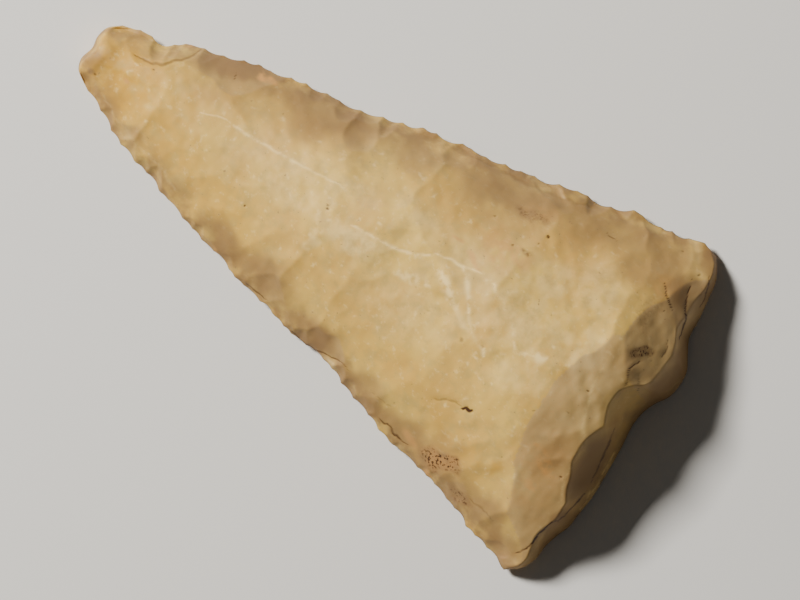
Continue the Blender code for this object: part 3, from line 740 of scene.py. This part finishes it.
def at_share(curve, share):
    """Points at shares 0 to 1 of a curve's way."""
    way = way_along(curve)
    return np.stack([np.interp(share * way[-1], way, curve[:, k]) for k in (0, 1)], axis=1)


def plan_grid(form, rows_along, rows_across):
    """Points of a grid stretched between the four edges of the outline."""
    s = graded(rows_along, 0.2, 0.5)
    t = graded(rows_across, 0.35, 0.35)
    lower = at_share(form.rim_lower, s)[:, None, :]
    upper = at_share(form.rim_upper, s)[:, None, :]
    poll = at_share(form.poll, t)[None, :, :]
    bit = at_share(form.bit, t)[None, :, :]
    s = s[:, None, None]
    t = t[None, :, None]
    corners = ((1 - s) * (1 - t) * lower[0, 0] + s * (1 - t) * lower[-1, 0]
               + (1 - s) * t * upper[0, 0] + s * t * upper[-1, 0])
    return (1 - t) * lower + t * upper + (1 - s) * poll + s * bit - corners


def shape_top(mesh, places, marks, layers):
    """Brings the flat grid to the upper face. Returns its rim, anticlockwise seen from above."""
    rows, columns = places.shape[:2]
    mesh.verts.ensure_lookup_table()
    order = [mesh.verts[j * rows + i] for i in range(rows) for j in range(columns)]
    for vert, place in zip(order, places.reshape(-1, 3)):
        vert.co = place
    for name, layer in layers.items():
        for vert, value in zip(order, marks[name].ravel()):
            vert[layer] = value
    table = [order[i * columns:(i + 1) * columns] for i in range(rows)]
    rim = [table[i][0] for i in range(rows - 1)]
    rim += [table[-1][j] for j in range(columns - 1)]
    rim += [table[i][-1] for i in range(rows - 1, 0, -1)]
    rim += [table[0][j] for j in range(columns - 1, 0, -1)]
    return rim


def add_underside(mesh, rim, form, rim_way_layer):
    """Rings of faces that close in from the rim to the flat middle of the underside."""
    outline = np.array([vert.co for vert in rim])[:, :2]
    spine = np.clip(outline[:, 0], along(12), along(72))
    inner = np.stack([spine, np.zeros_like(spine)], axis=1)
    ring = rim
    for share in UNDERSIDE_RINGS:
        flat = inner + (outline - inner) * share
        low = form.underside(flat[:, 0], flat[:, 1])
        fresh = [mesh.verts.new((*place, height)) for place, height in zip(flat, low)]
        way = np.minimum.reduce(form.ways_in(flat[:, 0], flat[:, 1])[:3])
        for vert, value in zip(fresh, way):
            vert[rim_way_layer] = value
        for k, vert in enumerate(fresh):
            after = (k + 1) % len(fresh)
            mesh.faces.new((ring[after], ring[k], vert, fresh[after]))
        ring = fresh
    mesh.faces.new(list(reversed(ring)))


def stone_mesh(form, rows_along, rows_across):
    """The closed mesh of the stone, with an attribute for each kind of mark."""
    grid = plan_grid(form, rows_along, rows_across)
    rows, columns = grid.shape[:2]
    x, y = grid[..., 0], grid[..., 1]
    height, marks = form.top_face(x, y, form.underside(x, y))
    bpy.ops.mesh.primitive_grid_add(x_subdivisions=rows - 1, y_subdivisions=columns - 1, size=2)
    stone = bpy.context.object
    mesh = bmesh.new()
    mesh.from_mesh(stone.data)
    layers = {name: mesh.verts.layers.float.new(name) for name in sorted(marks)}
    rim = shape_top(mesh, np.dstack([x, y, height]), marks, layers)
    add_underside(mesh, rim, form, layers["rim_way"])
    bmesh.ops.recalc_face_normals(mesh, faces=mesh.faces)
    box = np.array([vert.co for vert in mesh.verts])
    middle = (box.min(axis=0) + box.max(axis=0)) / 2
    bmesh.ops.translate(mesh, verts=mesh.verts, vec=(-middle[0], -middle[1], 0))
    mesh.to_mesh(stone.data)
    mesh.free()
    return stone


def add_node(tree, kind, links=None, values=None, **settings):
    """Adds one node with its settings, the values of its inputs and the links into them."""
    node = tree.nodes.new(kind)
    for name, setting in settings.items():
        setattr(node, name, setting)
    for socket, value in (values or {}).items():
        node.inputs[socket].default_value = value
    for socket, output in (links or {}).items():
        tree.links.new(output, node.inputs[socket])
    return node


# Noise patterns of the stone: grain in mm, detail and roughness
PATTERNS = {
    "cloud": (9.0, 3, 0.5), "edge": (3.0, 3, 0.5), "haze": (2.4, 5, 0.65), "scuff": (1.8, 4, 0.65),
    "fleck": (1.7, 4, 0.5), "spots": (1.3, 2, 0.7), "mottle": (1.1, 4, 0.6), "glint": (1.1, 1, 0.5),
    "stipple": (0.8, 3, 0.5), "dust": (0.6, 2, 0.5), "grain": (0.5, 4, 0.6), "specks": (0.38, 2, 0.5),
}

# The colours laid over the light stone, in order. Each is as strong as its pattern times its
# mark. A range gives two values of the pattern or mark and the strengths that they stand for
Layer = namedtuple("Layer", "colour pattern pattern_range mark mark_range", defaults=(None, None))
RANGE_SOCKETS = ("From Min", "From Max", "To Min", "To Max")
LAYERS = (
    # The stone's own clouds and flecks, and small painted glints
    Layer("warm", "cloud", (0.35, 0.65, 0, 1)),
    Layer("golden", "fleck", (0.2, 0.5, 0, 1), "golden"),
    Layer("pale", "fleck", (0.25, 0.6, 0, 1), "pale"),
    Layer("pale", "mottle", (0.55, 0.75, 0, 0.6)),
    Layer("grey", "haze", (0.45, 0.68, 0, 0.6)),
    Layer("pale", "spots", (0.64, 0.74, 0, 0.4)),
    # Painted glints: tiny highlights painted in the crushed-stone white
    Layer("white", "glint", (0.7, 0.84, 0, 0.35)),
    # Painted shade: a darker, duller colour on the facets above the bit and on some scars
    Layer("shade_paint", None, None, "tone"),
    # Stains of the soil, strongest along the margins, where the colour is partly painted shade of the
    # sloping margins
    Layer("brown", "cloud", (0.1, 0.6, 0.63, 0.9), "brown"),
    Layer("brown", "edge", (0.3, 0.6, 0, 1), "rim_way", (0, 5.0 * MM, 0.85, 0)),
    Layer("brown", "stipple", (0.25, 0.5, 0, 0.75), "speckle", (0, 0.5, 0, 1)),
    Layer("rosy", "fleck", (0.3, 0.55, 0, 1), "rosy"),
    # Crushed ridges and painted highlights, specks, dust, and the dark cracks and painted shadows
    Layer("white", "scuff", (0.34, 0.56, 0, 1), "crush"),
    Layer("dark", "specks", (0.52, 0.62, 0, 1), "speckle", (0.1, 0.8, 0, 1)),
    Layer("brown", "dust", (0.72, 0.76, 0, 0.6)),
    Layer("dark", None, None, "dark", (0.1, 0.9, 0, 1)),
)


def flint_material(settings):
    """Honey flint (chert), flaked: a waxy, slightly see-through stone with cloudy mottling."""
    material = bpy.data.materials.new("honey_flint_knapped")
    material.use_nodes = True
    tree = material.node_tree
    shader = tree.nodes["Principled BSDF"]
    place = add_node(tree, "ShaderNodeTexCoord").outputs["Object"]
    # Turned, so that no row of the noise lies along the stone
    turn = {"Rotation": (0.6, 0.5, 0.9), "Scale": (1 / MM, 1 / MM, 1 / MM)}
    in_mm = add_node(tree, "ShaderNodeMapping", {"Vector": place}, turn).outputs[0]
    patterns = {}
    for name, (grain, detail, roughness) in PATTERNS.items():
        values = {"Scale": 1 / grain, "Detail": detail, "Roughness": roughness}
        noise = add_node(tree, "ShaderNodeTexNoise", {"Vector": in_mm}, values)
        patterns[name] = noise.outputs["Fac"]
    colour = None
    for layer in LAYERS:
        sources = []
        if layer.pattern:
            sources.append((patterns[layer.pattern], layer.pattern_range))
        if layer.mark:
            mark = add_node(tree, "ShaderNodeAttribute", attribute_name=layer.mark)
            sources.append((mark.outputs["Fac"], layer.mark_range))
        strength = None
        for source, limits in sources:
            if limits:
                values = dict(zip(RANGE_SOCKETS, limits))
                ramp = add_node(tree, "ShaderNodeMapRange", {"Value": source}, values,
                                interpolation_type="SMOOTHSTEP")
                source = ramp.outputs["Result"]
            if strength is None:
                strength = source
            else:
                both = add_node(tree, "ShaderNodeMath", {0: strength, 1: source}, operation="MULTIPLY")
                strength = both.outputs[0]
        links = {"Factor": strength}
        if colour is not None:
            links[6] = colour
        values = {6: (*settings.stone_light, 1), 7: (*getattr(settings, "stone_" + layer.colour), 1)}
        colour = add_node(tree, "ShaderNodeMix", links, values, data_type="RGBA").outputs[2]
    tree.links.new(colour, shader.inputs["Base Color"])
    # A dull wax gloss: the quartz refracts as 1.54, and light goes under 1 mm into it
    finish = {
        "Roughness": 0.6, "Specular IOR Level": 0.3, "IOR": 1.54, "Subsurface Weight": 0.12,
        "Subsurface Radius": (1.0, 0.6, 0.35), "Subsurface Scale": 0.8 * MM,
    }
    for name, value in finish.items():
        shader.inputs[name].default_value = value
    relief = {"Strength": 0.16, "Distance": 0.04 * MM}
    bump = add_node(tree, "ShaderNodeBump", {"Height": patterns["grain"]}, relief)
    tree.links.new(bump.outputs[0], shader.inputs["Normal"])
    return material


class GougeSettings(bpy.types.PropertyGroup):
    rows_along: bpy.props.IntProperty(
        name="Rows along", description="Faces of the upper grid from poll to bit", default=400)
    rows_across: bpy.props.IntProperty(
        name="Rows across", description="Faces of the upper grid from side to side", default=200)
    ripple_height: bpy.props.FloatProperty(
        name="Ripple height", description="Height of the shock ripples in a flake scar",
        default=0.03 * MM, unit="LENGTH", subtype="DISTANCE", precision=6)
    ripple_spacing: bpy.props.FloatProperty(
        name="Ripple spacing", description="Distance from one ripple to the next",
        default=2.8 * MM, unit="LENGTH", subtype="DISTANCE", precision=5)
    unevenness: bpy.props.FloatProperty(
        name="Unevenness", description="Height of the slow waves in the flaked faces",
        default=0.065 * MM, unit="LENGTH", subtype="DISTANCE", precision=6)
    ridge_softness: bpy.props.FloatProperty(
        name="Ridge softness", description="How much the ridges between scars are worn round",
        default=0.03 * MM, unit="LENGTH", subtype="DISTANCE", precision=6)
    chip_spacing: bpy.props.FloatProperty(
        name="Chip spacing", description="Distance between the small trimming scars of a margin",
        default=2.5 * MM, unit="LENGTH", subtype="DISTANCE", precision=5)
    chip_reach: bpy.props.FloatProperty(
        name="Chip reach", description="How far a small trimming scar runs in from the margin",
        default=2.0 * MM, unit="LENGTH", subtype="DISTANCE", precision=5)
    chip_depth: bpy.props.FloatProperty(
        name="Chip depth", description="Depth of a small trimming scar at the margin",
        default=0.45 * MM, unit="LENGTH", subtype="DISTANCE", precision=6)
    stone_light: bpy.props.FloatVectorProperty(
        name="Light stone", description="Colour of most of the stone", subtype="COLOR",
        default=linear("dbb457"))
    stone_warm: bpy.props.FloatVectorProperty(
        name="Warm stone", description="Colour of the warmer clouds", subtype="COLOR",
        default=linear("d2a750"))
    stone_pale: bpy.props.FloatVectorProperty(
        name="Pale stone", description="Colour of the pale flecks", subtype="COLOR",
        default=linear("eccb80"))
    stone_grey: bpy.props.FloatVectorProperty(
        name="Grey stone", description="Colour of the greenish grey clouds", subtype="COLOR",
        default=linear("bd9f58"))
    stone_golden: bpy.props.FloatVectorProperty(
        name="Golden stone", description="Colour of the yellow clouds", subtype="COLOR",
        default=linear("cc9a36"))
    # The stains' colour, also laid as painted shade along the margins and on the bit face
    stone_brown: bpy.props.FloatVectorProperty(
        name="Brown stone", description="Colour of the stained edges", subtype="COLOR",
        default=linear("8c6b42"))
    # Painted shade of the facets above the bit and of some scars
    stone_shade_paint: bpy.props.FloatVectorProperty(
        name="Dull stone", description="Colour of the facets above the bit", subtype="COLOR",
        default=linear("ba9c74"))
    stone_rosy: bpy.props.FloatVectorProperty(
        name="Rosy stone", description="Colour of the iron blushes", subtype="COLOR",
        default=linear("cf9650"))
    # Also paints the glints and the highlights along the ridges and ripples
    stone_white: bpy.props.FloatVectorProperty(
        name="Crushed stone", description="Colour of the crushed ridges", subtype="COLOR",
        default=linear("fbd98c"))
    # Also paints the shadows under the shelves of the upper margin and along the lower band
    stone_dark: bpy.props.FloatVectorProperty(
        name="Dark lines", description="Colour of the cracks, the pits and the specks", subtype="COLOR",
        default=linear("44260c"))
    floor_colour: bpy.props.FloatVectorProperty(
        name="Floor", description="Colour of the studio floor", subtype="COLOR",
        default=linear("e4e1da"))


class GOUGE_OT_stone(bpy.types.Operator):
    """Build the flaked stone and give it its finish"""

    bl_idname = "gouge.stone"
    bl_label = "Stone"

    def execute(self, context):
        settings = context.scene.gouge
        stone = stone_mesh(Form(settings), settings.rows_along, settings.rows_across)
        stone.name = "stone_gouge_flaked"
        stone.data.name = "stone_gouge_flaked"
        stone.data.shade_smooth()
        stone.data.materials.clear()
        stone.data.materials.append(flint_material(settings))
        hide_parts("stone_gouge")
        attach(stone, "root")
        return {"FINISHED"}


# The photo's frame: its middle on the stone, what it spans, and how far it is turned
VIEW_MIDDLE = (8.17 * MM, -4.01 * MM)
VIEW_SPAN = 107.1 * MM
VIEW_TURN = 35.0
CAMERA_HEIGHT = 1.2
SENSOR_WIDTH = 36.0

# The key light shines from the poll's side, as in the photo, so the bit face lies in shade.
# The floor is a hair below the stone's flat face
KEY_PLACE = (-0.631, 0.019, 0.569)
KEY_SIZE = 0.18
KEY_POWER = 14.3
AIR_BRIGHTNESS = 0.06
FLOOR_GAP = 0.1 * MM


def soft_light(name, place, target, size, power, colour):
    """A square soft light that faces the target."""
    light = bpy.data.lights.new(name, "AREA")
    light.shape = "SQUARE"
    light.size = size
    light.energy = power
    light.color = colour
    lamp = bpy.data.objects.new(name, light)
    lamp.location = place
    lamp.rotation_euler = (Vector(target) - Vector(place)).to_track_quat("-Z", "Y").to_euler()
    bpy.context.scene.collection.objects.link(lamp)


class GOUGE_OT_studio(bpy.types.Operator):
    """Build the pale floor, the soft light and the camera above the stone"""

    bl_idname = "gouge.studio"
    bl_label = "Studio"

    def execute(self, context):
        settings = context.scene.gouge
        bpy.ops.mesh.primitive_plane_add(size=8, location=(0, 0, -FLOOR_GAP))
        floor = bpy.context.object
        floor.name = "floor"
        # Matt paper scatters light and shows no gloss
        paper = bpy.data.materials.new("matt_paper_floor")
        paper.use_nodes = True
        shader = paper.node_tree.nodes["Principled BSDF"]
        shader.inputs["Base Color"].default_value = (*settings.floor_colour, 1)
        shader.inputs["Roughness"].default_value = 0.9
        floor.data.materials.append(paper)
        middle = (VIEW_MIDDLE[0], VIEW_MIDDLE[1], 5 * MM)
        soft_light("key", KEY_PLACE, middle, KEY_SIZE, KEY_POWER, (1.0, 0.98, 0.95))
        world = bpy.data.worlds.new("studio_air")
        world.use_nodes = True
        air = world.node_tree.nodes["Background"]
        air.inputs["Color"].default_value = (1.0, 0.98, 0.96, 1)
        air.inputs["Strength"].default_value = AIR_BRIGHTNESS
        context.scene.world = world
        lens = bpy.data.cameras.new("camera")
        lens.sensor_width = SENSOR_WIDTH
        lens.lens = SENSOR_WIDTH * CAMERA_HEIGHT / VIEW_SPAN
        lens.clip_start = 0.05
        lens.clip_end = 20
        camera = bpy.data.objects.new("camera", lens)
        camera.location = (*VIEW_MIDDLE, CAMERA_HEIGHT + SIDE_EDGE_HEIGHT)
        camera.rotation_euler = (0, 0, np.radians(VIEW_TURN))
        context.scene.collection.objects.link(camera)
        context.scene.camera = camera
        return {"FINISHED"}


class GOUGE_PT_panel(bpy.types.Panel):
    """Lists the steps and sizes of the stone gouge"""

    bl_label = "Stone gouge"
    bl_idname = "GOUGE_PT_panel"
    bl_space_type = "VIEW_3D"
    bl_region_type = "UI"
    bl_category = "Gouge"

    def draw(self, context):
        for name in GougeSettings.__annotations__:
            self.layout.prop(context.scene.gouge, name)
        self.layout.operator("gouge.stone")
        self.layout.operator("gouge.studio")


CLASSES = (GougeSettings, GOUGE_OT_stone, GOUGE_OT_studio, GOUGE_PT_panel)


def register():
    for item in CLASSES:
        bpy.utils.register_class(item)
    bpy.types.Scene.gouge = bpy.props.PointerProperty(type=GougeSettings)


def unregister():
    del bpy.types.Scene.gouge
    for item in reversed(CLASSES):
        bpy.utils.unregister_class(item)


def main():
    register()
    bpy.ops.object.select_all(action="DESELECT")
    bpy.ops.gouge.stone()
    bpy.ops.gouge.studio()


if __name__ == "__main__":
    main()
